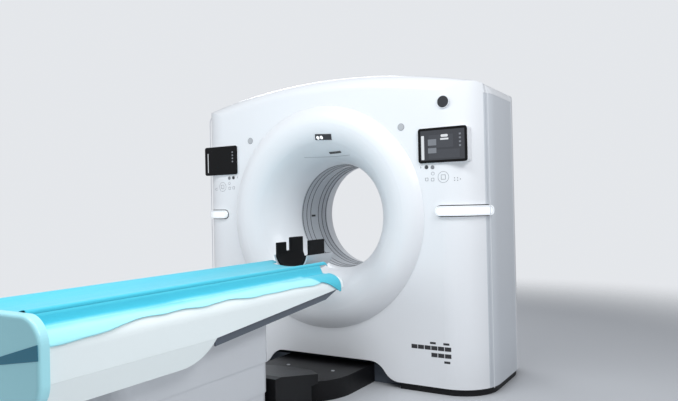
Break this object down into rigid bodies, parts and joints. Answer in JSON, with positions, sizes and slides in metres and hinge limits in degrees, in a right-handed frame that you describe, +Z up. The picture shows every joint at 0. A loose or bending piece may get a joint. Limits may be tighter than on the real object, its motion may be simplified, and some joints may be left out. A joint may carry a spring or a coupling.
{
  "type": "computed tomography scanner",
  "caption": "Computed tomography scanner: a ring-shaped gantry with an arched top and flared bore, and a docked patient table with a sliding cradle, sheet and head holder.",
  "frame": {"origin": "on the floor, midway between the gantry's four anchor holes, straight under the isocentre", "axes": "+Z up, +Y along the bore from the table towards the gantry, +X to the right as seen from the table"},
  "size_m": [2.163, 3.08, 1.931],
  "materials": {
    "cover_white": "smooth painted shell, satin",
    "cover_grey": "smooth painted shell, satin",
    "plinth_black": "matt moulded",
    "dock_black": "semi-gloss moulded",
    "screen_glass": "black cover glass",
    "bar_light": "translucent white light cover",
    "trim_dark": "dark tinted",
    "trim_grey": "plain moulded",
    "ring_grey": "smooth",
    "window_film": "thin polyester film",
    "frame_steel": "powder coat",
    "bearing_steel": "ground steel",
    "drum_alu": "machined casting",
    "tube_metal": "enamel",
    "collimator_metal": "matt",
    "generator_blue": "enamel",
    "fin_alu": "pressed fins",
    "detector_shell": "enamel",
    "board_green": "coated boards in a cage",
    "weight_iron": "painted casting",
    "ring_brass": "tracks in a carrier",
    "brush_brown": "brush block",
    "motor_grey": "enamel",
    "belt_rubber": "ribbed belt",
    "key_dark": "smooth",
    "key_grey": "smooth",
    "base_steel": "powder coat",
    "shroud_silver": "silver paint, satin",
    "column_steel": "ground tube",
    "panel_white": "smooth painted shell",
    "skirt_tint": "smooth painted shell",
    "end_tint": "smooth painted shell",
    "pad_white": "low-friction plastic",
    "cloth_pale": "thin non-woven cloth",
    "cloth_cyan": "thin non-woven sheet",
    "cradle_shell": "carbon-fibre sandwich, painted",
    "mattress_grey": "coated cloth over foam",
    "holder_silver": "silver paint",
    "holder_foam": "closed-cell foam"
  },
  "bodies": {
    "gantry": {"base_frame": "frame_steel", "plinth": "plinth_black", "stationary_frame": "frame_steel", "bearing_outer_ring": "bearing_steel", "slip_ring_brushes": "brush_brown", "drive_motor": "motor_grey", "drive_belt": "belt_rubber", "front_cover": "cover_white", "rear_cover": "cover_white", "side_cover_left": "cover_grey", "side_cover_right": "cover_grey", "top_cover": "cover_white", "front_funnel": "cover_white", "rear_funnel": "cover_white", "bore_ring_front": "ring_grey", "scan_window": "window_film", "bore_ring_rear": "ring_grey", "screen_pods": "cover_white", "screen_left": "screen_glass", "screen_right": "screen_glass", "light_bars": "bar_light", "front_windows": "trim_dark", "plugs": "trim_grey", "badge_disc": "trim_dark", "dock_box": "dock_black", "table_base": "base_steel", "base_hood": "dock_black", "lower_shroud": "shroud_silver", "lift_column_lower": "column_steel"},
    "rotor": {"bearing_inner_ring": "bearing_steel", "rotor_drum": "drum_alu", "tube_housing": "tube_metal", "tube_collimator": "collimator_metal", "high_voltage_generator": "generator_blue", "heat_exchanger": "fin_alu", "detector_arc": "detector_shell", "detector_electronics": "board_green", "counterweight": "weight_iron", "slip_ring": "ring_brass"},
    "pulley": {"drive_pulley": "bearing_steel"},
    "start_left": {"start_key_left": "key_dark"},
    "start_right": {"start_key_right": "key_dark"},
    "stop_left": {"stop_key_left": "key_grey"},
    "stop_right": {"stop_key_right": "key_grey"},
    "middle_section": {"middle_shroud": "shroud_silver", "lift_column_middle": "column_steel"},
    "table_top": {"upper_shroud": "shroud_silver", "lift_column_upper": "column_steel", "table_frame": "frame_steel", "glide_pads": "pad_white", "side_panels": "panel_white", "table_skirt": "skirt_tint", "nose_cap": "panel_white", "end_cap": "end_tint", "side_cloths": "cloth_pale"},
    "sliding_cradle": {"cradle": "cradle_shell", "mattress": "mattress_grey", "sheet": "cloth_cyan", "head_holder_shell": "holder_silver", "head_holder_pads": "holder_foam"}
  },
  "joints": [
    {"name": "rotor_spin", "type": "hinge", "parent": "gantry", "child": "rotor", "pos_m": [0, 0, 1.04], "axis": [0, 1, 0], "continuous": true},
    {"name": "drive_pulley_spin", "type": "hinge", "parent": "gantry", "child": "pulley", "pos_m": [0.702, 0, 0.26], "axis": [0, 1, 0], "continuous": true},
    {"name": "table_lift", "type": "slide", "parent": "gantry", "child": "table_top", "axis": [0, 0, 1], "range_m": [-0.3, 0.17]},
    {"name": "middle_section_lift", "type": "slide", "parent": "gantry", "child": "middle_section", "axis": [0, 0, 1], "range_m": [-0.15, 0.085]},
    {"name": "cradle_slide", "type": "slide", "parent": "table_top", "child": "sliding_cradle", "axis": [0, 1, 0], "range_m": [0, 1.5]},
    {"name": "start_key_left_press", "type": "slide", "parent": "gantry", "child": "start_left", "axis": [0, 1, 0], "range_m": [0, 0.0015], "stiffness_N_per_m": 800},
    {"name": "start_key_right_press", "type": "slide", "parent": "gantry", "child": "start_right", "axis": [0, 1, 0], "range_m": [0, 0.0015], "stiffness_N_per_m": 800},
    {"name": "stop_key_left_press", "type": "slide", "parent": "gantry", "child": "stop_left", "axis": [0, 1, 0], "range_m": [0, 0.0015], "stiffness_N_per_m": 800},
    {"name": "stop_key_right_press", "type": "slide", "parent": "gantry", "child": "stop_right", "axis": [0, 1, 0], "range_m": [0, 0.0015], "stiffness_N_per_m": 800}
  ],
  "couplings": [
    {"joint": "drive_pulley_spin", "follows": "rotor_spin", "ratio": 11.857},
    {"joint": "middle_section_lift", "follows": "table_lift", "ratio": 0.5}
  ]
}
